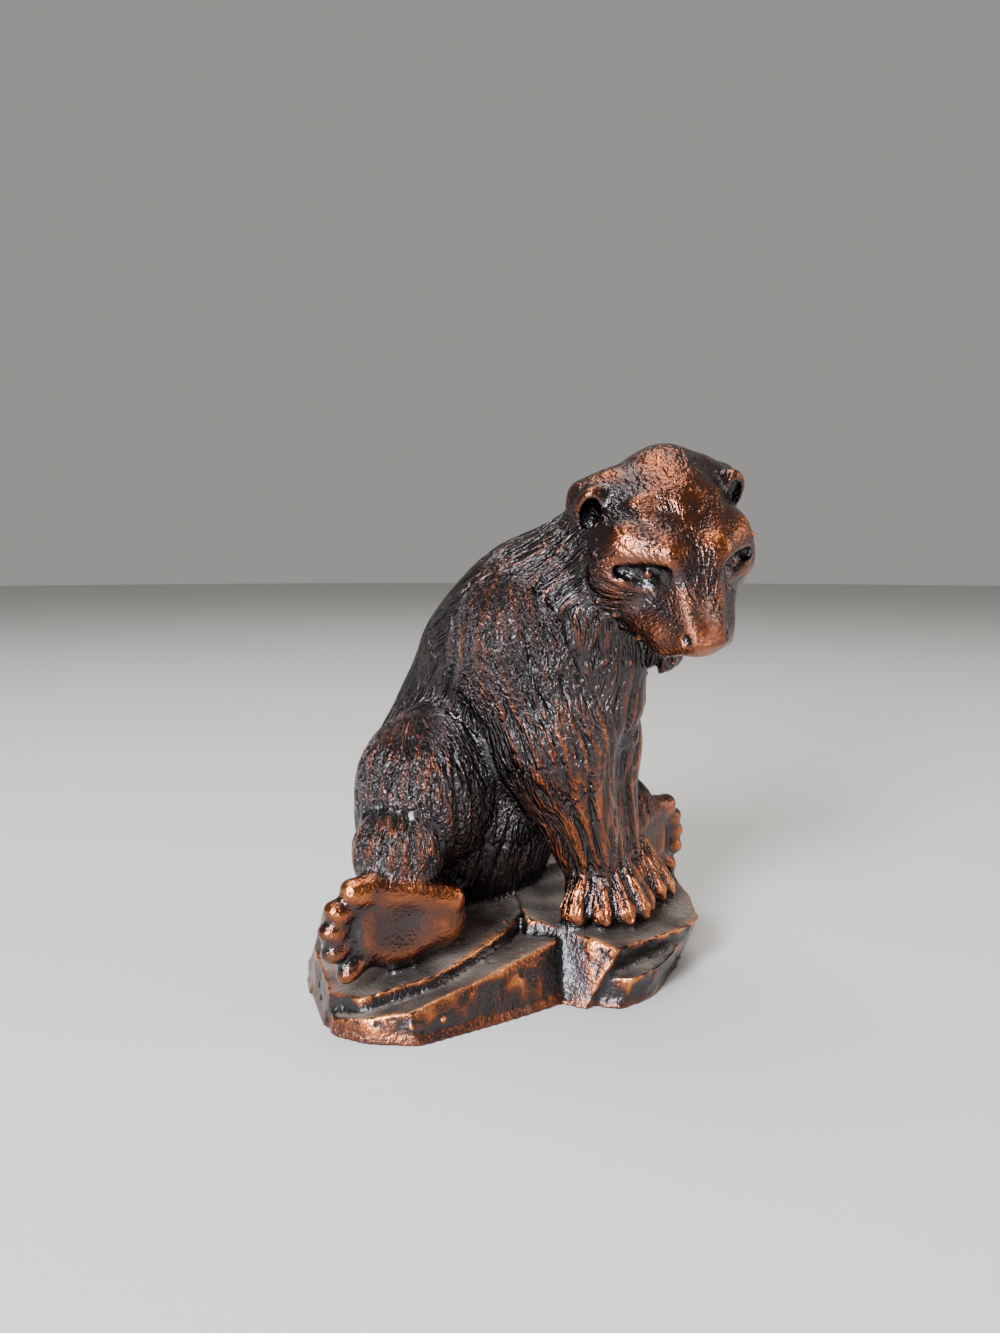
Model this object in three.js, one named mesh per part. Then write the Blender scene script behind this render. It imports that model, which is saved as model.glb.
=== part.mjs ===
// A cast metal polar bear that sits on a rock and turns its head to its right.
// Millimetres, +Z up. The bear faces -Y, its left side is +X, and the rock's underside is at Z = 0.
import * as THREE from 'three';
import { edgeTable, triTable } from 'three/addons/objects/MarchingCubes.js';

// Driving sizes
const CELL = 0.8; // spacing of the grid that the surface is read from
const BLOCK = 3; // grid points to a side of the blocks that are skipped where the surface is far off
const FACES = 9900; // triangles kept for the whole casting
const FAR = 1e3; // a distance beyond the reach of any form
const EXTENT = { x: [-40, 41], y: [-40, 33], z: [-1.6, 84] }; // space that holds the casting

// Where the main masses sit
const HIP_HEIGHT = 28;
const HIP_DEPTH = 11;
const SHOULDER_HEIGHT = 53;
const HEAD_CENTRE = [4.5, -27, 66.2];
const HEAD_YAW = 27; // degrees that the head turns to the bear's right
const HEAD_PITCH = 42; // degrees that the nose points down
const HEAD_ROLL = 10.5; // degrees that the right ear hangs lower

// Fur: the locks that show from a step away
const LOCK_DEPTH = 0.75;
const LOCK_WAVE = 0.3; // share of a lock's width that it sways to each side
const LOCK_SWAY_LENGTH = 15;

const TOE_REACH = 2.2; // half the length of a hind toe

// Blends between forms
const BLEND = { trunk: 7, limb: 4, muscle: 2.4, feature: 1.2, toe: 0.6, rock: 0.5, seat: 1.3 };

const COPPER = { color: 0x8a4f35, roughness: 0.38, metalness: 0.9 };

// Vectors and axes
const add = (a, b) => a.map((value, i) => value + b[i]);
const subtract = (a, b) => a.map((value, i) => value - b[i]);
const scale = (a, factor) => a.map((value) => value * factor);
const dot = (a, b) => a[0] * b[0] + a[1] * b[1] + a[2] * b[2];
const cross = (a, b) => [
  a[1] * b[2] - a[2] * b[1],
  a[2] * b[0] - a[0] * b[2],
  a[0] * b[1] - a[1] * b[0],
];

// Forward, left and up of a thing that turns right by yaw, nods down by pitch and rolls to its right
function axesOf(yaw, pitch, roll) {
  const [y, p, r] = [yaw, pitch, roll].map(THREE.MathUtils.degToRad);
  const forward = [-Math.sin(y) * Math.cos(p), -Math.cos(y) * Math.cos(p), -Math.sin(p)];
  const level = [Math.cos(y), -Math.sin(y), 0];
  const raised = cross(forward, level);
  const left = add(scale(level, Math.cos(r)), scale(raised, Math.sin(r)));
  const up = subtract(scale(raised, Math.cos(r)), scale(level, Math.sin(r)));
  return { forward, left, up };
}

// A point given by its forward, left and up distances from an origin
function place(origin, axes, [forward, left, up]) {
  const along = add(scale(axes.forward, forward), scale(axes.left, left));
  return add(origin, add(along, scale(axes.up, up)));
}

// Axes turned round their own forward
function rolled({ forward, left, up }, angle) {
  const [cos, sin] = [Math.cos(angle), Math.sin(angle)];
  return {
    forward,
    left: add(scale(left, cos), scale(up, sin)),
    up: subtract(scale(up, cos), scale(left, sin)),
  };
}

const BODY = axesOf(0, 0, 0);

// Joins and cuts with a rounded seam of the given radius
function smoothJoin(a, b, radius) {
  const overlap = Math.max(radius - Math.abs(a - b), 0) / radius;
  return Math.min(a, b) - (overlap * overlap * radius) / 4;
}

const smoothCut = (a, b, radius) => -smoothJoin(-a, b, radius);
const smoothMeet = (a, b, radius) => -smoothJoin(-a, -b, radius);

// A form is a function of x, y and z that gives the distance to its skin, negative inside

// An egg with its radii along forward, left and up
function egg([cx, cy, cz], [ahead, aside, above], axes = BODY) {
  const [f, l, u] = [axes.forward, axes.left, axes.up];
  return (x, y, z) => {
    const dx = x - cx;
    const dy = y - cy;
    const dz = z - cz;
    const a = (dx * f[0] + dy * f[1] + dz * f[2]) / ahead;
    const b = (dx * l[0] + dy * l[1] + dz * l[2]) / aside;
    const c = (dx * u[0] + dy * u[1] + dz * u[2]) / above;
    const reach = Math.sqrt(a * a + b * b + c * c);
    const steep = Math.sqrt((a / ahead) ** 2 + (b / aside) ** 2 + (c / above) ** 2);
    return steep < 1e-9 ? -Math.min(ahead, aside, above) : (reach * (reach - 1)) / steep;
  };
}

// A limb that narrows from one ball to another
function limb(start, startRadius, end, endRadius) {
  const axis = subtract(end, start);
  const length = Math.hypot(...axis);
  const direction = scale(axis, 1 / length);
  const taper = (startRadius - endRadius) / length;
  const flank = Math.sqrt(1 - taper * taper);
  return (x, y, z) => {
    const dx = x - start[0];
    const dy = y - start[1];
    const dz = z - start[2];
    const along = dx * direction[0] + dy * direction[1] + dz * direction[2];
    const away = Math.sqrt(Math.max(dx * dx + dy * dy + dz * dz - along * along, 0));
    const shifted = along * flank - away * taper;
    if (shifted <= 0) return Math.sqrt(along * along + away * away) - startRadius;
    if (shifted >= length * flank) return Math.sqrt((along - length) ** 2 + away * away) - endRadius;
    return away * flank + along * taper - startRadius;
  };
}

// Locks of fur combed round an axis: their valleys deepen where the hide is furthest from its ends
function furred(form, { from, to, locks, depth = LOCK_DEPTH, turn = 0 }) {
  const axis = subtract(to, from);
  const length = Math.hypot(...axis);
  const direction = scale(axis, 1 / length);
  const side = cross(direction, Math.abs(direction[2]) > 0.9 ? [0, 1, 0] : [0, 0, 1]);
  const sideways = scale(side, 1 / Math.hypot(...side));
  const across = cross(direction, sideways);
  return (x, y, z) => {
    const distance = form(x, y, z);
    if (Math.abs(distance) > BLEND.trunk) return distance;
    const offset = [x - from[0], y - from[1], z - from[2]];
    const along = dot(offset, direction);
    const angle = Math.atan2(dot(offset, across), dot(offset, sideways));
    const sway = Math.sin((along / LOCK_SWAY_LENGTH) * Math.PI * 2 + angle * 5) * LOCK_WAVE;
    const phase = (angle / (2 * Math.PI)) * locks + sway + (turn * along) / length;
    const fade = Math.sin(Math.PI * THREE.MathUtils.clamp(along / length, 0, 1)) ** 0.6;
    return distance + depth * fade * (1 - Math.abs(Math.sin(Math.PI * phase)));
  };
}

// The space behind planes, with rounded edges between them
const behind = (planes, softness) => (x, y, z) => {
  let distance = -FAR;
  for (const { normal: n, offset } of planes) {
    distance = smoothMeet(distance, n[0] * x + n[1] * y + n[2] * z - offset, softness);
  }
  return distance;
};

// A rock with a tilted flat top: the corners of its rim run counter-clockwise, each with the lean of the
// side that starts there, in millimetres inward for each millimetre up
function rock(rim, [height, riseX, riseY], softness = 0.6) {
  const sides = rim.map(([x, y, lean], i) => {
    const [nextX, nextY] = rim[(i + 1) % rim.length];
    const width = Math.hypot(nextX - x, nextY - y);
    const outward = [(nextY - y) / width, (x - nextX) / width, lean];
    const size = Math.hypot(...outward);
    const corner = [x, y, height + riseX * x + riseY * y];
    return { normal: scale(outward, 1 / size), offset: dot(outward, corner) / size };
  });
  const topSize = Math.hypot(riseX, riseY, 1);
  const top = { normal: scale([-riseX, -riseY, 1], 1 / topSize), offset: height / topSize };
  return behind([...sides, top], softness);
}

// A block with flat faces round a point inside it, each face through three points
function hewn(inside, faces, softness) {
  const planes = faces.map(([first, second, third]) => {
    const square = cross(subtract(second, first), subtract(third, first));
    const outward = scale(square, Math.sign(dot(square, subtract(first, inside))) / Math.hypot(...square));
    return { normal: outward, offset: dot(outward, first) };
  });
  return behind(planes, softness);
}

// The bear is a list of steps, each a form that is joined on or cut away
const join = (blend, ...shapes) => shapes.map((shape) => ({ shape, blend, apply: smoothJoin }));
const carve = (blend, ...shapes) => shapes.map((shape) => ({ shape, blend, apply: smoothCut }));

function trunk() {
  const rump = [0, HIP_DEPTH + 1, HIP_HEIGHT - 7];
  const loin = [-1, HIP_DEPTH, HIP_HEIGHT];
  const ribs = [0, 3, SHOULDER_HEIGHT - 7];
  const withers = [0, -3, SHOULDER_HEIGHT];
  const spine = { from: [0, 20, 6], to: [1, -10, 68], locks: 30 };
  return [
    ...join(BLEND.muscle, furred(egg(rump, [15, 18, 17]), spine)),
    ...join(BLEND.trunk, furred(limb(loin, 15.5, ribs, 13.5), spine)),
    ...join(BLEND.trunk, furred(egg(withers, [12, 14, 12]), spine)),
    ...join(BLEND.trunk, furred(limb([1, -7, 59], 10, [4, -19, 66.5], 9), spine)),
    ...join(BLEND.limb, furred(limb([3, -14, 56], 8.5, [6, -13, 44], 7.2), spine)),
  ];
}

// Foreleg from the shoulder over the elbow to the wrist; the right one carries the weight in front
function foreleg(shoulder, elbow, wrist, radii) {
  const comb = { from: add(shoulder, [0, 0, 8]), to: subtract(wrist, [0, 0, 4]), locks: 16 };
  return [
    ...join(BLEND.limb, furred(limb(shoulder, radii[0], elbow, radii[1]), comb)),
    ...join(BLEND.limb, furred(limb(elbow, radii[1], wrist, radii[2]), comb)),
  ];
}

// Haunch with its shin, combed downward
function haunch(hip, shin, radii) {
  const comb = { from: add(hip, [0, 5, 15]), to: add(shin, [0, -3, -12]), locks: 20 };
  return [
    ...join(BLEND.limb, furred(egg(hip, radii), comb)),
    ...join(1.2, furred(egg(shin, [6.5, 7.2, 7.4]), comb)),
  ];
}

// Hind foot with its sole to the front: a ball, a heel and five toes in an arc
function hindFoot(centre, yaw, side) {
  const axes = axesOf(yaw, 0, 0);
  const spot = (toToes, up, out = 0) => place(centre, axes, [out, toToes * side, up]);
  const ball = egg(spot(0.6, 0, -1), [3.4, 7, 7.2], axes);
  const heel = egg(spot(-5, -0.2, -1), [3, 5, 5], axes);
  const bar = limb(spot(6.2, 4.6, -1.2), 2.2, spot(6.6, -5.2, -1.2), 2);
  const toes = [[6.5, 5.2, 1.8], [8.7, 2.7, 1.65], [9.5, 0, 1.55], [9.2, -2.8, 1.6], [7.3, -5.8, 1.6]];
  const tips = toes.map(([toToes, up, size]) => {
    const aim = Math.atan2(up, toToes) * side;
    return egg(spot(toToes, up, 0.8), [2.4, TOE_REACH, size], rolled(axes, aim));
  });
  const dish = egg(spot(0, 0, 4.6), [3.4, 5.5, 5], axes);
  return [
    ...join(BLEND.feature, ball, heel, bar),
    ...carve(1.5, dish),
    ...join(BLEND.toe + 0.4, ...tips),
  ];
}

// Front paw flat on the rock: a low pad and five long toes that fan out, each with a short claw
function frontPaw(centre, yaw) {
  const axes = axesOf(yaw, 0, 0);
  const spot = (ahead, left, up) => place(centre, axes, [ahead, left, up]);
  const toes = [[2, -6.2, 2.4], [5, -3.4, 1.8], [6.2, 0, 1.8], [5.6, 3.4, 1.75], [3.4, 6.2, 1.65]];
  const steps = join(2, egg(spot(0, 0, 3), [5, 6.2, 4], axes));
  for (const [ahead, left, size] of toes) {
    const knuckle = spot(ahead - 4.6, left * 0.62, 5);
    const tip = spot(ahead - 0.3, left, 1.2);
    const claw = spot(ahead + size * 0.6, left * 1.03, 0.3);
    steps.push(...join(BLEND.toe, limb(knuckle, size * 0.8, tip, size)));
    steps.push(...join(0.4, limb(tip, 0.9, claw, 0.7)));
  }
  return steps;
}

function head() {
  const axes = axesOf(HEAD_YAW, HEAD_PITCH, HEAD_ROLL);
  const spot = (ahead, left, up) => place(HEAD_CENTRE, axes, [ahead, left, up]);
  const bothSides = (make) => [make(1), make(-1)];
  const skull = egg(spot(-4.8, 0, -0.4), [12, 10.8, 9.3], axes);
  const crest = limb(spot(-9, 1.4, 4), 5.8, spot(-3.4, 1.4, 5.6), 3.8);
  const nape = bothSides((s) => limb(spot(-9, s * 7, 4.4), 2.8, spot(-9.6, s * 10, 3), 2.8));
  const cheeks = bothSides((s) => egg(spot(0.2, s * 7.8, -1.7), [5.5, 4.4, 5.8], axes));
  const faces = [
    [spot(6.5, 3.4, 6.3), spot(6.5, -3.4, 6.3), spot(-3, 0, 8)],
    [spot(6.5, 3.2, 6.3), spot(6.5, -3.2, 6.3), spot(14.7, 0, -0.7)],
    [spot(6.5, 3.4, 6.3), spot(14.7, 2.5, -0.7), spot(11, 6, -7)],
    [spot(6.5, -3.4, 6.3), spot(14.7, -2.5, -0.7), spot(11, -6, -7)],
    [spot(15.9, 2, -3.4), spot(15.9, -2, -3.4), spot(13.4, 0, -7)],
    [spot(12, 0, -7.2), spot(2, 3, -8), spot(2, -3, -8)],
    [spot(-3, 0, 0), spot(-3, 7, 0), spot(-3, 0, 4)],
  ];
  const snout = hewn(spot(8, 0, -2), faces, 1.1);
  const nose = egg(spot(13.4, 0, -3.8), [2.6, 3.5, 2.9], axes);
  const nostrils = bothSides((s) => egg(spot(14.9, s * 2.9, -2.3), [0.9, 0.5, 0.6], axes));
  const chops = bothSides((s) => limb(spot(-1, s * 6, -6), 4.4, spot(10, s * 3.6, -5.4), 2.5));
  const temples = bothSides((s) => egg(spot(2.6, s * 6, 0.6), [3.2, 2.4, 2.8], axes));
  const brows = bothSides((s) => limb(spot(1.4, s * 7, 3.4), 3, spot(5.8, s * 3.8, 4.6), 2.3));
  const jaw = limb(spot(-0.8, -0.8, -10), 6.4, spot(5.8, -1, -14.8), 3.2);
  const tufts = bothSides((s) => [0, 0.2, 0.4, 0.6, 0.8, 1].map((share) => {
    const root = spot(-4 + 9 * share, s * (8.4 - 4.8 * share), -6.4 - 3.4 * share);
    const tip = spot(-6 + 9 * share, s * (8 - 5 * share), -10.4 - 2.8 * share);
    return limb(root, 1.6, tip, 0.7);
  }));
  const ears = bothSides((s) => egg(spot(-6.6, s * 10.2, 3.6), [1.9, 2.4, 3.6], axes));
  const earHollows = bothSides((s) => egg(spot(-5.2, s * 10.7, 3.6), [1.4, 1.3, 2.6], axes));
  const sockets = bothSides((s) => limb(spot(4, s * 9, 1.3), 0.8, spot(8, s * 4.8, 3.7), 0.9));
  const eyes = bothSides((s) => egg(spot(5.7, s * 6.4, 2), [0.8, 0.8, 0.8], axes));
  return [
    ...join(3, skull, crest, ...nape, ...cheeks),
    ...join(1.5, snout),
    ...join(1.2, nose),
    ...join(2.4, ...chops, ...temples),
    ...join(2.4, ...brows),
    ...join(1.2, jaw),
    ...join(0.8, ...tufts.flat()),
    ...join(1, ...ears),
    ...carve(0.8, ...earHollows),
    ...carve(1, ...sockets),
    ...carve(0.5, ...nostrils),
    ...join(0.3, ...eyes),
  ];
}

// Rock: a long slab that climbs from its left end, a ledge along the front, a prow under the paw with a
// lower step at its foot, and the broad slab that the bear sits on
function base() {
  const nearSlab = rock(
    [[-34.8, 1.5, 0.05], [-33.4, -4, 0.1], [-24, -8.8, 0.1], [-14, -8.8, 0.1], [-8.5, -7.2, 0], [6, 0, 0],
      [6, 24, 0.3], [-14, 25, 0.2], [-28.5, 14.5, 0.1]],
    [11.6, 0.18, 0],
  );
  const ledge = rock(
    [[-36, -0.8, 0.02], [-34.3, -6, 0.05], [-30.2, -10.8, 0.2], [-21, -13, 0.25], [-4.8, -15.4, 0],
      [-2, -6, 0], [-18, -2, 0], [-34, 3, 0]],
    [8.2, 0.155, -0.12],
  );
  const prow = rock(
    [[-5.5, -7.8, 0.3], [-0.9, -23.9, -0.25], [4, -24.6, -0.3], [12.3, -25.8, -0.45], [17, -25, -0.3],
      [24.5, -17, 0], [28, -8, 0], [22, 4, 0], [2, 2, 0]],
    [12.2, 0.02, 0.13],
  );
  const step = rock(
    [[-3.2, -20.5, 0.05], [0.8, -25.6, -0.25], [5.4, -25.8, -0.3], [11, -24, -0.35], [17.5, -22, -0.3],
      [25, -17, 0], [20, -6, 0], [0, -8, 0]],
    [4.6, 0.16, 0],
  );
  const seat = rock(
    [[19, -18, 0], [30, -13.5, 0.05], [36.3, -6, 0.1], [36.5, 6, 0.2], [28, 19, 0.25], [10, 27, 0.2],
      [-8, 28, 0.25], [-22, 21.5, 0.25], [-29, 11, 0], [-12, -4, 0]],
    [8.4, 0, 0.02],
  );
  return [nearSlab, ledge, prow, step, seat];
}

const bear = [
  ...trunk(),
  ...foreleg([9, -6, 52], [11, -9, 36], [13, -10, 19], [8, 6, 4.8]),
  ...foreleg([-7, -7, 53], [-2, -11, 38], [4, -13, 20], [8.5, 8, 5.4]),
  ...haunch([-16.2, 3, 30.5], [-23, -1, 23], [9.5, 10.5, 12]),
  ...haunch([19, 2, 30.5], [23, -3.5, 20.5], [10, 10.5, 12]),
  ...head(),
  ...hindFoot([-26.3, -4, 14.5], 27, -1),
  ...hindFoot([26, -6.5, 16], -8, 1),
  ...frontPaw([5.2, -14.5, 11], 14),
  ...frontPaw([15, -11.5, 11], -4),
];
const rocks = base();

// Distance to the whole casting: negative inside
function casting(x, y, z) {
  let figure = FAR;
  for (const { shape, blend, apply } of bear) figure = apply(figure, shape(x, y, z), blend);
  let ground = FAR;
  for (const shape of rocks) ground = smoothJoin(ground, shape(x, y, z), BLEND.rock);
  return Math.max(smoothJoin(figure, ground, BLEND.seat), -z);
}

// Read the distance at every corner of a grid and join the crossings of its edges into triangles
function surfaceOf(field) {
  const counts = ['x', 'y', 'z'].map((key) => Math.ceil((EXTENT[key][1] - EXTENT[key][0]) / CELL) + 1);
  const start = ['x', 'y', 'z'].map((key) => EXTENT[key][0]);
  const [nx, ny, nz] = counts;
  const values = new Float32Array(nx * ny * nz);
  const middles = new Float32Array(nx * ny * nz);
  const at = (i, j, k) => i + nx * (j + ny * k);
  const read = (i, j, k) => field(start[0] + i * CELL, start[1] + j * CELL, start[2] + k * CELL);
  const middle = (BLOCK - 1) / 2;
  for (let k = 0; k < nz; k += 1) {
    for (let j = 0; j < ny; j += 1) {
      for (let i = 0; i < nx; i += 1) {
        const [i0, j0, k0] = [i, j, k].map((n) => n - (n % BLOCK));
        const blockStart = at(i0, j0, k0);
        if (i === i0 && j === j0 && k === k0) {
          middles[blockStart] = read(i0 + middle, j0 + middle, k0 + middle);
        }
        const nearest = middles[blockStart];
        const value = Math.abs(nearest) > BLOCK * CELL * 1.5 ? nearest : read(i, j, k);
        values[at(i, j, k)] = Math.abs(value) < 1e-4 ? 1e-4 : value;
      }
    }
  }
  const corners = [[0, 0, 0], [1, 0, 0], [1, 1, 0], [0, 1, 0], [0, 0, 1], [1, 0, 1], [1, 1, 1], [0, 1, 1]];
  const edges = [
    [0, 1], [1, 2], [2, 3], [3, 0], [4, 5], [5, 6], [6, 7], [7, 4], [0, 4], [1, 5], [2, 6], [3, 7],
  ];
  const points = [];
  const triangles = [];
  const known = new Map();
  const crossing = (i, j, k, edge) => {
    const [a, b] = edges[edge].map((corner) => corners[corner]);
    const first = at(i + a[0], j + a[1], k + a[2]);
    const second = at(i + b[0], j + b[1], k + b[2]);
    const key = first < second ? first * values.length + second : second * values.length + first;
    if (!known.has(key)) {
      const share = values[first] / (values[first] - values[second]);
      const steps = [i, j, k].map((n, axis) => n + a[axis] + share * (b[axis] - a[axis]));
      known.set(key, points.length);
      points.push(steps.map((step, axis) => start[axis] + CELL * step));
    }
    return known.get(key);
  };
  for (let k = 0; k < nz - 1; k += 1) {
    for (let j = 0; j < ny - 1; j += 1) {
      for (let i = 0; i < nx - 1; i += 1) {
        let kind = 0;
        corners.forEach(([a, b, c], corner) => {
          if (values[at(i + a, j + b, k + c)] < 0) kind |= 1 << corner;
        });
        if (edgeTable[kind] === 0) continue;
        for (let t = kind * 16; triTable[t] !== -1; t += 3) {
          triangles.push([0, 2, 1].map((n) => crossing(i, j, k, triTable[t + n])));
        }
      }
    }
  }
  return { points, triangles };
}

// How far a point is from all the planes that have been merged into it, squared and summed
const NO_ERROR = () => new Float64Array(10);
function planeError([a, b, c], d, weight) {
  return [a * a, a * b, a * c, a * d, b * b, b * c, b * d, c * c, c * d, d * d].map((term) => term * weight);
}
const errorAt = (q, [x, y, z]) => q[0] * x * x + q[4] * y * y + q[7] * z * z + q[9]
  + 2 * (q[1] * x * y + q[2] * x * z + q[5] * y * z + q[3] * x + q[6] * y + q[8] * z);

// The point with the least error, if the planes meet in one
function bestPoint(q) {
  const matrix = new THREE.Matrix3().set(q[0], q[1], q[2], q[1], q[4], q[5], q[2], q[5], q[7]);
  if (Math.abs(matrix.determinant()) < 1e-7) return null;
  return new THREE.Vector3(-q[3], -q[6], -q[8]).applyMatrix3(matrix.invert()).toArray();
}

// A heap that hands back the entry with the lowest cost
class Queue {
  entries = [];

  push(entry) {
    let i = this.entries.push(entry) - 1;
    while (i > 0) {
      const parent = (i - 1) >> 1;
      if (this.entries[parent].cost <= entry.cost) break;
      this.entries[i] = this.entries[parent];
      i = parent;
    }
    this.entries[i] = entry;
  }

  pop() {
    const first = this.entries[0];
    const last = this.entries.pop();
    if (this.entries.length === 0) return first;
    let i = 0;
    for (let child = 1; child < this.entries.length; child = 2 * i + 1) {
      const right = child + 1;
      if (right < this.entries.length && this.entries[right].cost < this.entries[child].cost) child = right;
      if (this.entries[child].cost >= last.cost) break;
      this.entries[i] = this.entries[child];
      i = child;
    }
    this.entries[i] = last;
    return first;
  }
}

// Collapse the edges whose loss shows least until few enough faces are left
function simplify({ points, triangles }, faceCount) {
  const facesAt = points.map(() => new Set());
  triangles.forEach((face, f) => face.forEach((point) => facesAt[point].add(f)));
  const errors = points.map(NO_ERROR);
  const faceNormal = (corners) => {
    const [a, b, c] = corners;
    return cross(subtract(b, a), subtract(c, a));
  };
  triangles.forEach((face) => {
    const normal = faceNormal(face.map((point) => points[point]));
    const size = Math.hypot(...normal) || 1e-9;
    const unit = scale(normal, 1 / size);
    const error = planeError(unit, -dot(unit, points[face[0]]), size);
    face.forEach((point) => error.forEach((term, i) => { errors[point][i] += term; }));
  });
  const version = new Uint32Array(points.length);
  const queue = new Queue();
  const neighbours = (point) => {
    const found = new Set();
    facesAt[point].forEach((f) => triangles[f].forEach((other) => found.add(other)));
    found.delete(point);
    return found;
  };
  const offer = (a, b) => {
    const error = errors[a].map((term, i) => term + errors[b][i]);
    const middle = scale(add(points[a], points[b]), 0.5);
    const span = Math.hypot(...subtract(points[a], points[b]));
    const best = bestPoint(error);
    const usable = best && Math.hypot(...subtract(best, middle)) < span * 1.5;
    const target = usable ? best : middle;
    const cost = Math.max(errorAt(error, target), 0) + 1e-5 * span * span;
    queue.push({ cost, a, b, target, error, stamps: [version[a], version[b]] });
  };
  const turnsOver = (kept, gone, target) => [...facesAt[kept]].some((f) => {
    if (triangles[f].includes(gone)) return false;
    const before = faceNormal(triangles[f].map((point) => points[point]));
    const after = faceNormal(triangles[f].map((point) => (point === kept ? target : points[point])));
    return dot(before, after) < 0.2 * Math.hypot(...before) * Math.hypot(...after);
  });
  points.forEach((_, a) => neighbours(a).forEach((b) => { if (a < b) offer(a, b); }));
  let left = triangles.length;
  while (left > faceCount && queue.entries.length > 0) {
    const { a, b, target, error, stamps } = queue.pop();
    if (stamps[0] !== version[a] || stamps[1] !== version[b] || facesAt[a].size === 0) continue;
    const [roundA, roundB] = [neighbours(a), neighbours(b)];
    const shared = [...roundA].filter((point) => roundB.has(point));
    if (shared.length !== 2 || shared.some((point) => facesAt[point].size < 4)) continue;
    if (turnsOver(a, b, target) || turnsOver(b, a, target)) continue;
    points[a] = target;
    errors[a] = error;
    version[a] += 1;
    version[b] += 1;
    [...facesAt[b]].forEach((f) => {
      if (triangles[f].includes(a)) {
        triangles[f].forEach((point) => facesAt[point].delete(f));
        triangles[f] = null;
        left -= 1;
      } else {
        triangles[f] = triangles[f].map((point) => (point === b ? a : point));
        facesAt[a].add(f);
      }
    });
    facesAt[b].clear();
    neighbours(a).forEach((point) => offer(a, point));
  }
  return { points, triangles: triangles.filter((face) => face !== null) };
}

// Number the points that are still used, with the underside laid exactly flat
function geometryOf({ points, triangles }) {
  const order = new Map();
  const positions = [];
  const index = triangles.flat().map((point) => {
    if (!order.has(point)) {
      order.set(point, order.size);
      const [x, y, z] = points[point];
      positions.push(x, y, z < CELL * 0.1 ? 0 : z);
    }
    return order.get(point);
  });
  const geometry = new THREE.BufferGeometry();
  geometry.setAttribute('position', new THREE.Float32BufferAttribute(positions, 3));
  geometry.setIndex(index);
  geometry.computeVertexNormals();
  return geometry;
}

const bearOnRock = new THREE.Mesh(
  geometryOf(simplify(surfaceOf(casting), FACES)),
  new THREE.MeshStandardMaterial(COPPER),
);
bearOnRock.name = 'bear_and_rock_casting';

const figurine = new THREE.Group();
figurine.add(bearOnRock);
export default figurine;
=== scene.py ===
import math
from dataclasses import dataclass, replace
from itertools import product

import bpy
import numpy as np
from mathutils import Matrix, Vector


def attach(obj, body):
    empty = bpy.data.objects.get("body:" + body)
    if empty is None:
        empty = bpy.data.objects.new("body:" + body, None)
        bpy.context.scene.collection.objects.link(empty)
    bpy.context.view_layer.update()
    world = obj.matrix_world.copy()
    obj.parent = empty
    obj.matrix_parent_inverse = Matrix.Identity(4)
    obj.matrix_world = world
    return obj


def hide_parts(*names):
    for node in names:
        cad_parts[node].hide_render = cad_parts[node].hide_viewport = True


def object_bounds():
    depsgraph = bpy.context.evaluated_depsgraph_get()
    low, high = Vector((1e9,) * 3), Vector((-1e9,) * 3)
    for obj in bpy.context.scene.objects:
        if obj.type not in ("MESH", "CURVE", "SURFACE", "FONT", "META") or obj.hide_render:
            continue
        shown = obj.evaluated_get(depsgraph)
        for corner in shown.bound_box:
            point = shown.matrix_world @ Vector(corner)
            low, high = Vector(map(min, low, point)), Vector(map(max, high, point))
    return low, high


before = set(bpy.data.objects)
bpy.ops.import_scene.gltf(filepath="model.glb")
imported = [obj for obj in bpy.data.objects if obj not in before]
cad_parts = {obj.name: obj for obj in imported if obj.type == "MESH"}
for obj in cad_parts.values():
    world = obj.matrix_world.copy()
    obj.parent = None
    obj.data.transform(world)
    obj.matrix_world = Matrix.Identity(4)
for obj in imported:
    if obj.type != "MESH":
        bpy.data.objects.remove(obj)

import openvdb
from mathutils import Vector
from mathutils.kdtree import KDTree

CAD_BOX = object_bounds()
MM = 0.001  # metres in a millimetre

# The clay that the forms are built up in
CELL = 0.34  # spacing of its grid
CLAY_LOW = (-39.0, -39.5, -2.0)
CLAY_HIGH = (40.0, 32.0, 83.0)
MARGIN = 8.0  # space round a form in which it still blends with its neighbours
FAR = 100.0  # a distance beyond every form
TINY = 1e-9  # keeps a divisor from being zero
TRIANGLES = 194_000  # kept in the finished mesh

# Where the main masses sit
HIP_HEIGHT = 28
HIP_DEPTH = 11
SHOULDER_HEIGHT = 53
HEAD_CENTRE = (4.5, -27, 66.2)
HEAD_YAW = 27  # degrees that the head turns to the bear's right
HEAD_PITCH = 42  # degrees that the nose points down
HEAD_ROLL = 10.5  # degrees that the right ear hangs lower
THROAT = (6, -21, 51)  # where most drops of metal hang
TOE_REACH = 2.2  # half the length of a hind toe

# How wide the rounded seam is where a form joins or cuts the rest
BLEND = {
    "trunk": 7, "limb": 4, "skull": 3, "muscle": 2.4, "pad": 2, "snout": 1.5, "dish": 1.5, "hind_toe": 1.5,
    "rim": 1.4, "ear": 1.4, "seat": 1.3, "feature": 1.2, "socket": 1, "front_toe": 0.9, "tuft": 0.8,
    "ear_hollow": 0.8, "nostril": 0.5, "rock": 0.5, "claw": 0.4, "eye": 0.3,
}

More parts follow.
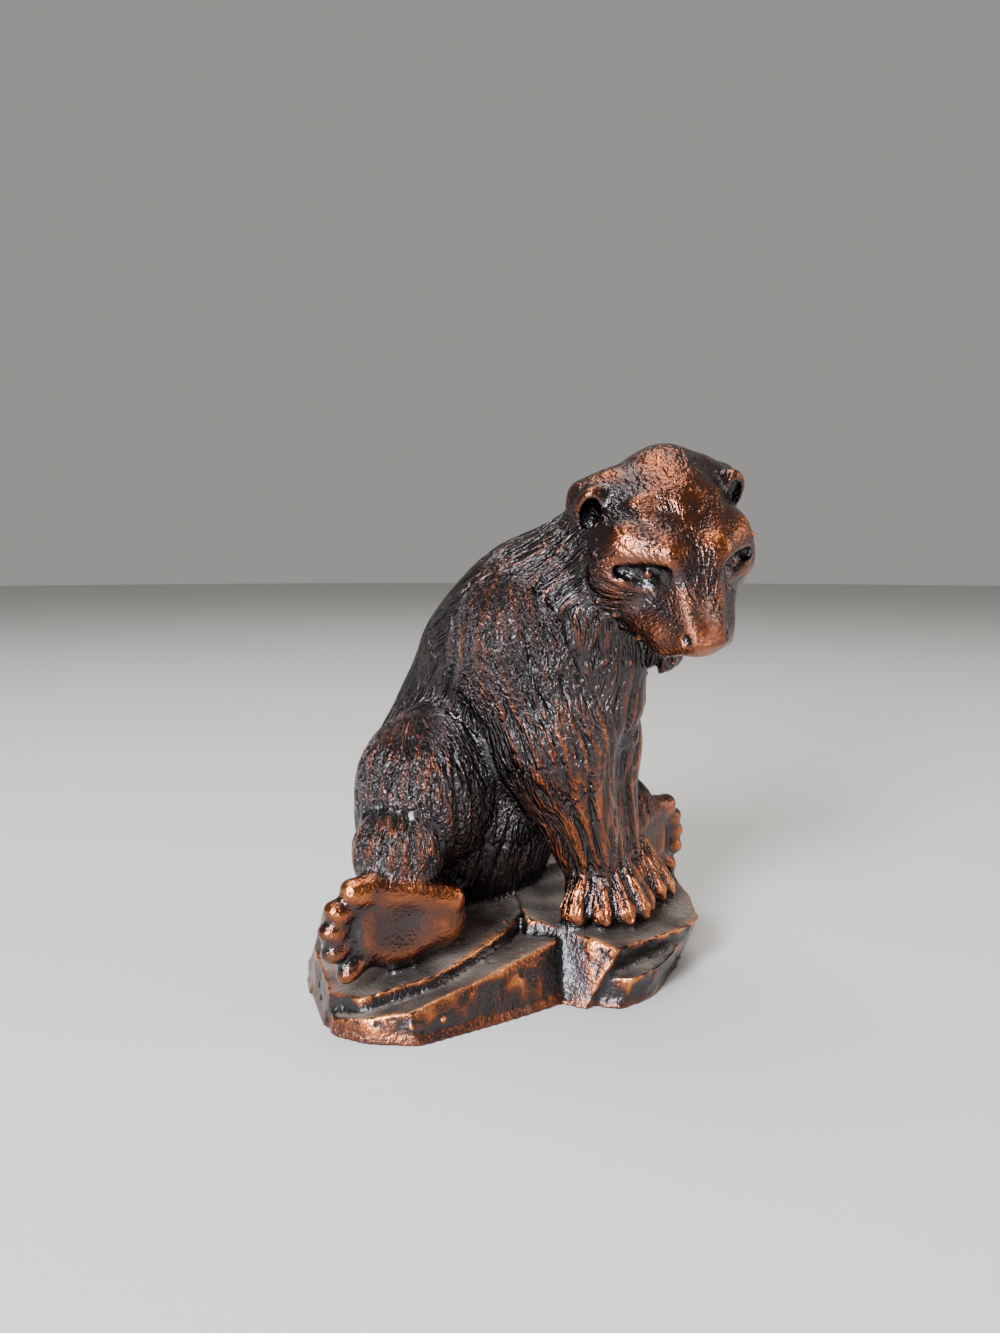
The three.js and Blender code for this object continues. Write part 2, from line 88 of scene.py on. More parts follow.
# Fur: a layer of sway is an amount, the size of its waves and a seed
SQUEEZE = 0.065  # the length of the hair is made this much shorter where its strands are drawn
SWEEP = 12  # how far from a whorl the strands are as wide as elsewhere
SKIN_SOFTNESS = 0.9  # how far a form's fur and colour reach over its neighbours
STRIDE = 0.22  # a step along a strand
CROWDING = 0.55  # share of their spacing to which two strands may close in
SHORTEST_STRAND = 4  # steps
FLOW_SWAY = [(0.25, 7, 11), (0.12, 3, 12)]  # in radians
STRAND_SWAY = 6  # size of the waves in the finest strands
STRAND_SEEDS = (41, 42, 43)
FUR_GAIN = 1.5  # makes short hair show its strands too

# The cast skin: a layer is a height, a size and a seed
LUMPS = [(0.24, 4, 21), (0.12, 1.6, 22)]
PITS = (0.6, 0.9, 23)
PIT_RARITY = 0.45
HIDE_RELIEF = 0.2  # share of the rock's relief that the bear has
SOLE_RISE = 1.5  # height over which the relief grows from none at the underside
DROPS = 70
DROP_RADIUS = 0.55
DROP_HEIGHT = 0.4
DROP_SEED = 51
THROAT_DROPS = 4  # how many times more drops there are at the throat than on the rock
THROAT_REACH = 10

# How the copper is worn: what each cause adds or takes away, from 0 for patina to 1 for bright metal
WEAR = {"ridge": 0.3, "rim": 0.5, "rock_rim": 0.85, "sunk": 0.45, "shade": 0.5}
RIDGE = (3, 0.06)  # rounds of smoothing, and the height above the smooth skin that counts in full
RIM = (24, 0.3)
SUNK_DEPTH = 0.5  # depth of the fur and pits that counts in full
ROCK_SPARED = 0.7  # share by which the depth counts for less on the rock
SHADE_REACHES = (1, 2.5, 5)  # how far from the skin other metal keeps a hand away
WEAR_PATCHES = [(0.13, 7, 31), (0.11, 2, 32)]
FOOT_HEIGHT = 3  # height below which the rock's edges are touched less
FOOT_WEAR = 0.2

# Dust with a painted sheen: a pale grey that lies on the level places of the rock and covers them by a share,
# partly dust and partly the painted sheen of these upward faces
DUST_AND_SHEEN_LEVEL = 0.75  # how level a face is where the dust and painted sheen start
DUST_AND_SHEEN_RANGE = 0.2
DUST_AND_SHEEN_PATCHES = [(0.5, 4, 33)]
DUST_AND_SHEEN_MEAN = 0.75
DUST_AND_SHEEN_LEAST = 0.4

# Copper: colours from patina to bright metal, and the finest relief in millimetres
PATINA = [
    (0.0, (0.056, 0.051, 0.053)),
    (0.2, (0.082, 0.050, 0.045)),
    (0.42, (0.175, 0.064, 0.038)),
    (0.65, (0.38, 0.115, 0.042)),
    (1.0, (0.74, 0.29, 0.10)),
]
# pale grey of the dust, which also paints the sheen of the rock's level faces
DUST_AND_SHEEN_COLOUR = (0.18, 0.14, 0.112)
GRAIN = 0.5  # size of the lumps in the cast skin
GRAIN_HEIGHT = 0.17
GRAIN_TONE = 0.3  # how much the grain changes the wear
STRAND = 0.52  # width of the finest strands
STRAND_HEIGHT = 0.28
STRAND_TONE = 0.22  # how much the strands change the wear
STRAND_RANGE = (0.36, 0.62)  # values of the noise between a strand's valley and its crest
ROUGHNESS = {"copper": 0.19, "rock": 0.1, "dust_and_sheen": 0.15}  # on the copper, and what rock and the dust with its painted sheen add
DUST_AND_SHEEN_DULLNESS = 0.8  # share of the metal's shine that the dust and painted sheen take, so that their pale grey shows

# The photograph's camera, in millimetres and degrees
CAMERA_PLACE = (-112, -109.5, 65)
CAMERA_TURN = 45
CAMERA_NOD = 6.19
CAMERA_NEAR = 10
LENS = 27
SENSOR = 36

# The studio: each lamp's name, place, width and height, power in watts and colour
LAMPS = [
    ("window", (-630, -190, 280), (140, 450), 18, (0.84, 0.92, 1.0)),
    ("ceiling", (20, 100, 800), (500, 500), 5.5, (1.0, 0.97, 0.93)),
    ("room", (500, -500, 250), (300, 400), 2, (1.0, 0.93, 0.86)),
]
LAMP_AIM = (0, 0, 40)
ROOM_COLOUR = (0.9, 0.88, 0.84)
ROOM_LIGHT = 0.36
FLOOR_RADIUS = 2500
FLOOR_SIDES = 64
FLOOR_COLOUR = (0.58, 0.57, 0.55)
FLOOR_ROUGHNESS = 0.7


# Vectors and axes
def vector(*numbers):
    return np.array(numbers, float)


def unit(vectors):
    """Vectors brought to a length of one."""
    return vectors / (np.linalg.norm(vectors, axis=-1, keepdims=True) + TINY)


def axes_of(yaw, pitch=0, roll=0):
    """Forward, left and up of a thing that turns right by yaw, nods down by pitch and rolls to its right."""
    y, p, r = np.radians([yaw, pitch, roll])
    forward = vector(-math.sin(y) * math.cos(p), -math.cos(y) * math.cos(p), -math.sin(p))
    level = vector(math.cos(y), -math.sin(y), 0)
    raised = np.cross(forward, level)
    left = level * math.cos(r) + raised * math.sin(r)
    up = raised * math.cos(r) - level * math.sin(r)
    return np.array([forward, left, up])


def placed(origin, axes, offset):
    """A point given by its forward, left and up distances from an origin."""
    return np.array(origin, float) + np.array(offset, float) @ axes


def rolled(axes, angle):
    """Axes turned round their own forward."""
    turn = math.radians(angle)
    forward, left, up = axes
    return np.array([forward, left * math.cos(turn) + up * math.sin(turn),
                     up * math.cos(turn) - left * math.sin(turn)])


BODY = axes_of(0)


def metres(lengths):
    """Lengths that are given in millimetres."""
    return [length * MM for length in lengths]


def read_grid(values, low, share):
    """A grid's values at a share of the way from its low points to the next ones, wrapped at its ends."""
    total = np.zeros(len(low))
    for corner in product((0, 1), repeat=3):
        weight = np.prod(np.where(corner, share, 1 - share), axis=1)
        i, j, k = ((low + corner) % values.shape).T
        total += weight * values[i, j, k]
    return total


def noise(points, size, seed):
    """Smooth random values from -1 to 1, with lumps about size apart."""
    count = 32
    lattice = np.random.default_rng(seed).uniform(-1, 1, (count, count, count))
    spots = points / size
    low = np.floor(spots).astype(int)
    share = spots - low
    return read_grid(lattice, low, share * share * (3 - 2 * share))


def layered(points, layers):
    """Noise in layers, each of an amount, a size and a seed."""
    return sum(amount * noise(points, size, seed) for amount, size, seed in layers)


# Hair
@dataclass(frozen=True)
class Lie:
    """How hair lies, as functions of points."""

    way: object  # its direction
    place: object  # the points again, but squeezed along the hair


def combed(*direction):
    """Hair that lies in one direction."""
    way = unit(vector(*direction))

    def place(points):
        return points - (1 - SQUEEZE) * (points @ way)[:, None] * way

    return Lie(lambda points: np.broadcast_to(way, points.shape), place)


def swept_from(centre, reach=SWEEP):
    """Hair that is swept away from a point, with strands as wide as elsewhere at the reach from it."""

    def place(points):
        away = points - centre
        return unit(away) * (reach + SQUEEZE * np.linalg.norm(away, axis=1, keepdims=True))

    return Lie(lambda points: unit(points - centre), place)


# Forms
@dataclass
class Form:
    """A shape that is joined on or cut away, and the skin that it carries."""

    distance: object  # function of x, y and z: the distance to the skin, negative inside
    low: np.ndarray
    high: np.ndarray
    comb: Lie = combed(0, 0, -1)
    fur: float = 0.0  # 0 is bare and 1 the longest hair
    worn: float = 0.5  # 0 keeps its dark patina and 1 is rubbed to bright copper
    rocky: float = 0.0
    blend: float = 1.0
    cut: bool = False


def egg(centre, radii, axes=BODY):
    """An egg with its radii along forward, left and up."""
    centre = np.array(centre, float)

    def distance(x, y, z):
        dx, dy, dz = x - centre[0], y - centre[1], z - centre[2]
        a, b, c = ((dx * w[0] + dy * w[1] + dz * w[2]) / r for w, r in zip(axes, radii))
        reach = np.sqrt(a * a + b * b + c * c + TINY)
        steep = np.sqrt((a / radii[0]) ** 2 + (b / radii[1]) ** 2 + (c / radii[2]) ** 2 + TINY * TINY)
        return reach * (reach - 1) / steep

    extent = np.sqrt(((axes * np.array(radii, float)[:, None]) ** 2).sum(axis=0))
    return Form(distance, centre - extent, centre + extent)


def limb(start, start_radius, end, end_radius):
    """A limb that narrows from one ball to another."""
    start, end = np.array(start, float), np.array(end, float)
    length = np.linalg.norm(end - start)
    way = (end - start) / length
    taper = (start_radius - end_radius) / length
    flank = math.sqrt(1 - taper * taper)

    def distance(x, y, z):
        dx, dy, dz = x - start[0], y - start[1], z - start[2]
        along = dx * way[0] + dy * way[1] + dz * way[2]
        away = np.sqrt(np.maximum(dx * dx + dy * dy + dz * dz - along * along, 0))
        shifted = along * flank - away * taper
        side = away * flank + along * taper - start_radius
        first_ball = np.hypot(along, away) - start_radius
        last_ball = np.hypot(along - length, away) - end_radius
        return np.where(shifted <= 0, first_ball, np.where(shifted >= length * flank, last_ball, side))

    low = np.minimum(start - start_radius, end - end_radius)
    high = np.maximum(start + start_radius, end + end_radius)
    return Form(distance, low, high)


def behind(planes, softness):
    """The distance to the space behind planes, each a normal and a point, with rounded edges between them."""

    def distance(x, y, z):
        nearest = -FAR
        for normal, point in planes:
            away = normal[0] * (x - point[0]) + normal[1] * (y - point[1]) + normal[2] * (z - point[2])
            nearest = smooth_meet(nearest, away, softness)
        return nearest

    return distance


def rock(rim, top, softness=0.6):
    """A rock with a tilted flat top, (height, rise along X, rise along Y).

    The corners of its rim run counter-clockwise, each with the lean of the side that starts there, in
    millimetres inward for each millimetre up.
    """
    height, rise_x, rise_y = top
    corners = [vector(x, y, height + rise_x * x + rise_y * y) for x, y, _ in rim]
    planes = [(unit(vector(-rise_x, -rise_y, 1)), vector(0, 0, height))]
    for (x, y, lean), (next_x, next_y, _), corner in zip(rim, rim[1:] + rim[:1], corners):
        width = math.hypot(next_x - x, next_y - y)
        planes.append((unit(vector((next_y - y) / width, (x - next_x) / width, lean)), corner))
    spread = max(abs(lean) for _, _, lean in rim) * max(corner[2] for corner in corners)
    low = np.min(corners, axis=0) - vector(spread, spread, 0)
    low[2] = CLAY_LOW[2]
    high = np.max(corners, axis=0) + vector(spread, spread, 0)
    return Form(behind(planes, softness), low, high, rocky=1.0)


def hewn(inside, faces, softness):
    """A block with flat faces round a point inside it, each face through three points."""
    planes = []
    for first, second, third in faces:
        normal = unit(np.cross(second - first, third - first))
        planes.append((normal * np.sign(normal @ (first - inside)), first))
    corners = np.array([corner for face in faces for corner in face])
    return Form(behind(planes, softness), corners.min(axis=0), corners.max(axis=0))


# Joins and cuts with a rounded seam
def smooth_join(a, b, radius):
    """The distance to two forms together, each given by its own distance."""
    overlap = np.maximum(radius - np.abs(a - b), 0) / radius
    return np.minimum(a, b) - overlap * overlap * radius / 4


def smooth_meet(a, b, radius):
    """The distance to what two forms share."""
    return -smooth_join(-a, -b, radius)


def join(blend, forms, **skin):
    """Forms that are to be joined on, with the width of their seam and their skin."""
    return [replace(form, blend=blend, **skin) for form in forms]


def carve(blend, forms, **skin):
    """Forms that are to be cut away."""
    return [replace(form, blend=blend, cut=True, **skin) for form in forms]


class Clay:
    """A block of grid points, each with its distance to the skin, negative inside."""

    def __init__(self):
        self.low = np.array(CLAY_LOW)
        self.shape = np.ceil((np.array(CLAY_HIGH) - self.low) / CELL).astype(int) + 1
        self.values = np.full(self.shape, FAR, np.float32)

    def apply(self, form):
        """Join a form on or cut it away, near the form only."""
        first = np.clip(((form.low - MARGIN - self.low) / CELL).astype(int), 0, self.shape)
        last = np.clip(((form.high + MARGIN - self.low) / CELL).astype(int) + 1, 0, self.shape)
        window = tuple(slice(a, b) for a, b in zip(first, last))
        lines = [self.low[n] + CELL * np.arange(first[n], last[n], dtype=np.float32) for n in range(3)]
        form_values = form.distance(*np.meshgrid(*lines, indexing="ij", sparse=True))
        if form.cut:
            self.values[window] = smooth_meet(self.values[window], -form_values, form.blend)
        else:
            self.values[window] = smooth_join(self.values[window], form_values, form.blend)

    def at(self, points):
        """The distance to the skin at any points."""
        spots = np.clip((points - self.low) / CELL, 0, self.shape - 1.001)
        low = spots.astype(int)
        return read_grid(self.values, low, spots - low)

    def slope(self, points):
        """The direction out of the skin at any points."""
        steps = np.eye(3) * CELL
        return unit(np.stack([self.at(points + step) - self.at(points - step) for step in steps], axis=1))

    def skin(self):
        """Points and four-sided faces of the skin."""
        grid = openvdb.FloatGrid(background=FAR)
        grid.copyFromArray(self.values)
        spots, faces = grid.convertToQuads(isovalue=0.0)
        points = spots * CELL + self.low
        for _ in range(2):
            points -= self.slope(points) * self.at(points)[:, None]
        points[:, 2] = np.maximum(points[:, 2], 0)
        return points, faces


# The bear
def trunk():
    """Rump, back, withers, nape and chest."""
    rump = (0, HIP_DEPTH + 1, HIP_HEIGHT - 7)
    loin = (-1, HIP_DEPTH, HIP_HEIGHT)
    ribs = (0, 3, SHOULDER_HEIGHT - 7)
    withers = (0, -3, SHOULDER_HEIGHT)
    nape = limb((1, -7, 59), 10, (4, -19, 66.5), 9)
    chest = limb((3, -14, 56), 8.5, (6, -13, 44), 7.2)
    return [
        *join(BLEND["muscle"], [egg(rump, (15, 18, 17))], fur=0.9, worn=0.15, comb=combed(0, 0.35, -1)),
        *join(BLEND["trunk"], [limb(loin, 15.5, ribs, 13.5)], fur=1, worn=0.14, comb=combed(0, 0.6, -1)),
        *join(BLEND["trunk"], [egg(withers, (12, 14, 12))], fur=1, worn=0.15, comb=combed(0, 1, -0.6)),
        *join(BLEND["trunk"], [nape], fur=0.8, worn=0.17, comb=combed(-0.2, 0.8, -0.6)),
        *join(BLEND["limb"], [chest], fur=1, worn=0.25, comb=combed(0.1, 0.1, -1)),
    ]


def foreleg(shoulder, elbow, wrist, radii):
    """Foreleg from the shoulder over the elbow to the wrist."""
    shoulder, elbow, wrist = (np.array(point, float) for point in (shoulder, elbow, wrist))
    upper = limb(shoulder, radii[0], elbow, radii[1])
    lower = limb(elbow, radii[1], wrist, radii[2])
    whorl = shoulder + vector(0, 4, 12)
    return [
        *join(BLEND["limb"], [upper], fur=1, worn=0.22, comb=swept_from(whorl, reach=20)),
        *join(BLEND["limb"], [lower], fur=1, worn=0.42, comb=combed(*(wrist - elbow))),
    ]


def haunch(hip, shin, radii):
    """Haunch with its shin, combed downward."""
    thigh = egg(hip, radii)
    calf = egg(shin, (6.5, 7.2, 7.4))
    above_hip = hip + vector(0, 0, radii[2] + 2)
    above_shin = shin + vector(0, 0, 9)
    return [
        *join(BLEND["limb"], [thigh], fur=0.9, worn=0.22, comb=swept_from(above_hip, reach=14)),
        *join(BLEND["feature"], [calf], fur=0.8, worn=0.24, comb=swept_from(above_shin)),
    ]


def hind_foot(centre, yaw, side):
    """Hind foot with its sole to the front: a hollowed ball and heel with a rim, and five toes in an arc."""
    axes = axes_of(yaw)

    def spot(to_toes, up, out=0):
        return placed(centre, axes, (out, to_toes * side, up))

    ball = egg(spot(0.6, 0, -1), (3.4, 7, 7.2), axes)
    heel = egg(spot(-5, -0.2, -1), (3, 5, 5), axes)
    bar = limb(spot(5.2, 4, -0.5), 2.2, spot(5.6, -4.6, -0.5), 2)
    dish = egg(spot(0, -0.6, 4.6), (3.4, 5.5, 4.6), axes)
    rim = limb(spot(4, 5.4, 0.3), 1.9, spot(-7.6, 2.8, 0.3), 1.7)
    toes = [(6.5, 5.2, 1.8), (8.7, 2.7, 1.65), (9.5, 0, 1.55), (9.2, -2.8, 1.6), (7.3, -5.8, 1.6)]
    tips = []
    for to_toes, up, size in toes:
        aim = math.degrees(math.atan2(up, to_toes)) * side
        tips.append(egg(spot(to_toes, up, 1), (2, TOE_REACH, size), rolled(axes, aim)))
    return [
        *join(BLEND["feature"], [ball, heel], fur=0, worn=0.34),
        *carve(BLEND["dish"], [dish], worn=0.3),
        *join(BLEND["rim"], [bar, rim], fur=0, worn=0.48),
        *join(BLEND["hind_toe"], tips, fur=0, worn=0.36),
    ]


def front_paw(centre, yaw):
    """Front paw flat on the rock: a low pad and five long toes that fan out, each with a short claw."""
    axes = axes_of(yaw)
    toes = [(2, -6.2, 2.4), (5, -3.4, 1.8), (6.2, 0, 1.8), (5.6, 3.4, 1.75), (3.4, 6.2, 1.65)]
    pad = egg(placed(centre, axes, (0, 0, 3)), (5, 6.2, 4), axes)
    forms = join(BLEND["pad"], [pad], fur=0.5, worn=0.45, comb=combed(*axes[0]))
    for ahead, left, size in toes:
        knuckle = placed(centre, axes, (0.3 * ahead, left * 0.5, 7.6))
        tip = placed(centre, axes, (ahead - 0.3, left, 1.2))
        claw = placed(centre, axes, (ahead + size * 0.6, left * 1.03, 0.3))
        toe = limb(knuckle, size * 0.8, tip, size)
        forms += join(BLEND["front_toe"], [toe], fur=0.6, worn=0.5, comb=combed(*(tip - knuckle)))
        forms += join(BLEND["claw"], [limb(tip, 0.9, claw, 0.7)], worn=0.45)
    return forms


def head():
    """The head with its hewn muzzle, brows, ears and the tufts under its jaw."""
    axes = axes_of(HEAD_YAW, HEAD_PITCH, HEAD_ROLL)

    def spot(ahead, left, up):
        return placed(HEAD_CENTRE, axes, (ahead, left, up))

    swept = swept_from(spot(15, 0, -1))
    beard = combed(0.1, 0.5, -1)
    sides = (1, -1)
    skull = egg(spot(-4.8, 0, -0.4), (12, 10.8, 9.3), axes)
    crest = limb(spot(-9, 1.4, 4), 5.8, spot(-3.4, 1.4, 5.6), 3.8)
    nape = [limb(spot(-9, s * 7, 4.4), 2.8, spot(-9.6, s * 10, 3), 2.8) for s in sides]
    cheeks = [egg(spot(0.2, s * 7.8, -1.7), (5.5, 4.4, 5.8), axes) for s in sides]
    faces = [
        [spot(6.5, 3.4, 6.3), spot(6.5, -3.4, 6.3), spot(-3, 0, 8)],
        [spot(6.5, 3.2, 6.3), spot(6.5, -3.2, 6.3), spot(14.7, 0, -0.7)],
        [spot(6.5, 3.4, 6.3), spot(14.7, 2.5, -0.7), spot(11, 6, -7)],
        [spot(6.5, -3.4, 6.3), spot(14.7, -2.5, -0.7), spot(11, -6, -7)],
        [spot(15.9, 2, -3.4), spot(15.9, -2, -3.4), spot(13.4, 0, -7)],
        [spot(12, 0, -7.2), spot(2, 3, -8), spot(2, -3, -8)],
        [spot(-3, 0, 0), spot(-3, 7, 0), spot(-3, 0, 4)],
    ]
    snout = hewn(spot(8, 0, -2), faces, 1.1)
    nose = egg(spot(13.4, 0, -3.8), (2.6, 3.5, 2.9), axes)
    nostrils = [egg(spot(14.9, s * 2.9, -2.3), (0.8, 0.35, 0.5), axes) for s in sides]
    chops = [limb(spot(-1, s * 6, -6), 4.4, spot(10, s * 3.6, -5.4), 2.5) for s in sides]
    temples = [egg(spot(2.6, s * 6, 0.6), (3.2, 2.4, 2.8), axes) for s in sides]
    brows = [limb(spot(1.4, s * 7, 3.4), 2.7, spot(5.8, s * 3.8, 4.4), 2.1) for s in sides]
    jaw = limb(spot(-0.8, -0.8, -10), 6.4, spot(5.8, -1, -14.8), 3.2)
    ears = [egg(spot(-6.6, s * 10.2, 3.6), (1.9, 2.4, 3.6), axes) for s in sides]
    ear_hollows = [egg(spot(-5.2, s * 10.7, 3.6), (1.4, 1.3, 2.6), axes) for s in sides]
    sockets = [limb(spot(4, s * 9, 1.3), 0.8, spot(8, s * 4.8, 3.6), 0.8) for s in sides]
    hollows = [egg(spot(6.4, s * 6.9, 1.5), (1.5, 2, 1.3), axes) for s in sides]
    eyes = [egg(spot(6.1, s * 5.9, 2.2), (0.9, 0.9, 0.9), axes) for s in sides]
    tufts = []
    for side, share in product(sides, np.linspace(0, 1, 6)):
        root = spot(-4 + 9 * share, side * (8.4 - 4.8 * share), -6.4 - 3.4 * share)
        tip = spot(-6 + 9 * share, side * (8 - 5 * share), -10.4 - 2.8 * share)
        tufts.append(limb(root, 1.6, tip, 0.7))
    return [
        *join(BLEND["skull"], [skull, crest, *nape], fur=0.35, worn=0.33, comb=swept),
        *join(BLEND["skull"], cheeks, fur=0.3, worn=0.34, comb=swept),
        *join(BLEND["snout"], [snout], fur=0.12, worn=0.4, comb=swept),
        *join(BLEND["feature"], [nose], fur=0, worn=0.4),
        *join(BLEND["muscle"], chops + temples, fur=0.25, worn=0.33, comb=swept),
        *join(BLEND["muscle"], brows, fur=0.05, worn=0.38, comb=swept),
        *join(BLEND["feature"], [jaw], fur=0.8, worn=0.25, comb=beard),
        *join(BLEND["tuft"], tufts, fur=0.8, worn=0.22, comb=beard),
        *join(BLEND["ear"], ears, fur=0.2, worn=0.32, comb=swept),
        *carve(BLEND["ear_hollow"], ear_hollows, worn=0.2),
        *carve(BLEND["socket"], sockets + hollows, worn=0.2),
        *carve(BLEND["nostril"], nostrils, worn=0.2),
        *join(BLEND["eye"], eyes, worn=0.4),
    ]


def base():
    """The rock: a long slab, a ledge along the front, a prow under the paw with a step, and the seat."""
    near_slab = rock(
        [(-34.8, 1.5, 0.05), (-33.4, -4, 0.1), (-24, -8.8, 0.1), (-14, -8.8, 0.1), (-6.8, -8, 0), (6, 0, 0),
         (6, 24, 0.3), (-14, 25, 0.2), (-28.5, 14.5, 0.1)],
        (11.6, 0.18, 0),
    )
    ledge = rock(
        [(-36, -0.8, 0.02), (-34.3, -6, 0.05), (-30.2, -10.8, 0.2), (-21, -13, 0.25), (-4.8, -15.4, 0),
         (-2, -6, 0), (-18, -2, 0), (-34, 3, 0)],
        (8.2, 0.155, -0.12),
    )
    prow = rock(
        [(-5.5, -7.8, 0.3), (-0.9, -23.9, -0.25), (4, -24.6, -0.3), (12.3, -25.8, -0.45), (17, -25, -0.3),
         (24.5, -17, 0), (28, -8, 0), (22, 4, 0), (2, 2, 0)],
        (12.2, 0.02, 0.13),
    )
    step = rock(
        [(-3.2, -21.2, 0.05), (-0.2, -25.8, -0.3), (5.4, -26.6, -0.35), (12, -25.2, -0.4),
         (18.5, -22.6, -0.35), (25, -17, 0), (20, -6, 0), (0, -8, 0)],
        (5, 0.14, 0),
    )
    seat = rock(
        [(19, -18, 0), (30, -13.5, 0.05), (36.3, -6, 0.1), (36.5, 6, 0.2), (28, 19, 0.25), (10, 27, 0.2),
         (-8, 28, 0.25), (-22, 21.5, 0.25), (-29, 11, 0), (-12, -4, 0)],
        (8.4, 0, 0.02),
    )
    return join(BLEND["rock"], [near_slab, ledge, prow, step, seat], worn=0.2)


def bear():
    """All forms of the bear, in the order in which they are joined and cut."""
    return [
        *trunk(),
        *foreleg((9, -6, SHOULDER_HEIGHT - 1), (11, -9, 36), (13, -10, 19), (8, 6, 4.8)),
        *foreleg((-7, -7, SHOULDER_HEIGHT), (-2, -11, 38), (4, -13, 20), (8.5, 8, 5.4)),
        *haunch((-16.2, 3, HIP_HEIGHT + 2.5), (-23, 0.2, 23), (9.5, 10.5, 12)),
        *haunch((19, 2, HIP_HEIGHT + 2.5), (23, -3.5, 20.5), (10, 10.5, 12)),
        *head(),
        *hind_foot((-26.3, -4, 14.5), 27, -1),
        *hind_foot((26, -6.5, 16), -8, 1),
        *front_paw((5.2, -14.5, 11), 14),
        *front_paw((15, -11.5, 11), -4),
    ]


def modelled(forms, rocks):
    """The clay with the bear on its rock, cut flat at the underside."""
    figure, ground = Clay(), Clay()
    for form in forms:
        figure.apply(form)
    for form in rocks:
        ground.apply(form)
    height = ground.low[2] + CELL * np.arange(ground.shape[2])
    figure.values = smooth_join(figure.values, ground.values, BLEND["seat"])
    figure.values = np.maximum(figure.values, -height).astype(np.float32)
    return figure


# Skin
def near_to(form, points):
    """Which points a form reaches."""
    return np.flatnonzero(np.all((points > form.low - MARGIN) & (points < form.high + MARGIN), axis=1))


def skin_at(points, forms, names):
    """Blend what the forms nearby say of the skin at each point."""
    total = np.full(len(points), TINY)
    found = {name: np.zeros((len(points), 3) if name == "comb" else len(points)) for name in names}
    for form in forms:
        near = near_to(form, points)
        spots = points[near]
        weight = np.exp(-np.abs(form.distance(*spots.T)) / SKIN_SOFTNESS)
        total[near] += weight
        for name in names:
            value = getattr(form, name)
            if name == "comb":
                found[name][near] += weight[:, None] * value.way(spots)
            else:
                found[name][near] += weight * value
    return {name: (value.T / total).T for name, value in found.items()}


def turned(vectors, axes, angles):
    """Vectors turned round axes that they are square to."""
    return vectors * np.cos(angles)[:, None] + np.cross(axes, vectors) * np.sin(angles)[:, None]


@dataclass
class Comb:
    """How one pass of the comb lays its grooves, in millimetres."""

    spacing: float
    length: tuple
    depth: tuple
    width: float
    fur: float  # the least fur that it works on
    seed: int


PASSES = [
    Comb(spacing=2.8, length=(10, 24), depth=(0.4, 0.8), width=0.55, fur=0.6, seed=3),
    Comb(spacing=1.3, length=(6, 16), depth=(0.15, 0.32), width=0.36, fur=0.45, seed=4),
]


class Hide:
    """The skin's points with their normals and the way that the hair lies."""

    def __init__(self, points, normals, fur, flow):
        self.points = [Vector(point) for point in points.tolist()]
        self.normals = [Vector(normal) for normal in normals.tolist()]
        self.flow = [Vector(way) for way in flow.tolist()]
        self.fur = fur
        self.groove = np.zeros(len(points))
        self.tree = KDTree(len(points))
        for index, point in enumerate(self.points):
            self.tree.insert(point, index)
        self.tree.balance()

    def strand(self, start, length, gap, least_gap, furry):
        """Points along the hair until it is long enough, meets another strand or leaves the fur."""
        index = start
        spot = self.points[start]
        strand = [spot]
        for _ in range(int(length / STRIDE)):
            ahead = spot + self.flow[index] * STRIDE
            near, index, _ = self.tree.find(ahead)
            normal = self.normals[index]
            spot = ahead - normal * normal.dot(ahead - near)
            if gap[index] < least_gap or not furry[index]:
                break
            strand.append(spot)
        return strand

    def comb(self, passing):
        """Cover the fur with strands that keep their distance from each other, and press them in."""
        random = np.random.default_rng(passing.seed)
        furry = self.fur >= passing.fur
        gap = np.full(len(self.points), FAR)
        for start in random.permutation(np.flatnonzero(furry)):
            if gap[start] < passing.spacing:
                continue
            length = random.uniform(*passing.length)
            strand = self.strand(start, length, gap, passing.spacing * CROWDING, furry)
            if len(strand) < SHORTEST_STRAND:
                continue
            depth = random.uniform(*passing.depth)
            self.press(strand, depth, passing.width, passing.spacing, gap)

    def press(self, strand, depth, width, reach, gap):
        """Press a strand into the skin, deepest in its middle."""
        for step, spot in enumerate(strand):
            share = (step + 0.5) / len(strand)
            here = depth * math.sin(math.pi * share) ** 0.5
            for _, index, distance in self.tree.find_range(spot, reach):
                if distance < gap[index]:
                    gap[index] = distance
                pressed = here * math.exp(-((distance / width) ** 2))
                if pressed > self.groove[index]:
                    self.groove[index] = pressed


def hair_flow(points, normals, comb):
    """The comb's direction laid on the skin and swayed a little to both sides."""
    flat = comb - normals * (comb * normals).sum(axis=1)[:, None]
    return turned(unit(flat), normals, layered(points, FLOW_SWAY))


def fur_relief(points, normals, forms):
    """How deep the fur is pressed into the skin at each point."""
    skin = skin_at(points, forms, ("fur", "comb"))
    hide = Hide(points, normals, skin["fur"], hair_flow(points, normals, skin["comb"]))
    for passing in PASSES:
        hide.comb(passing)
    return hide.groove


def drops(points, share):
    """Small drops of metal that bubbles in the mould have left, more of them where the share is high."""
    random = np.random.default_rng(DROP_SEED)
    chosen = random.choice(len(points), DROPS, replace=False, p=share / share.sum())
    raised = np.zeros(len(points))
    for centre in points[chosen]:
        distance = np.linalg.norm(points - centre, axis=1)
        raised = np.maximum(raised, DROP_HEIGHT * (1 - (distance / DROP_RADIUS) ** 2))
    return raised


def cast_relief(points, rocky):
    """The lumps and pits of the cast metal, deeper on the rock."""
    lumps = sum(height * (1 + noise(points, size, seed)) for height, size, seed in LUMPS)
    depth, size, seed = PITS
    pits = depth * np.maximum(noise(points, size, seed) - PIT_RARITY, 0)
    return (lumps + pits) * (HIDE_RELIEF + (1 - HIDE_RELIEF) * rocky)


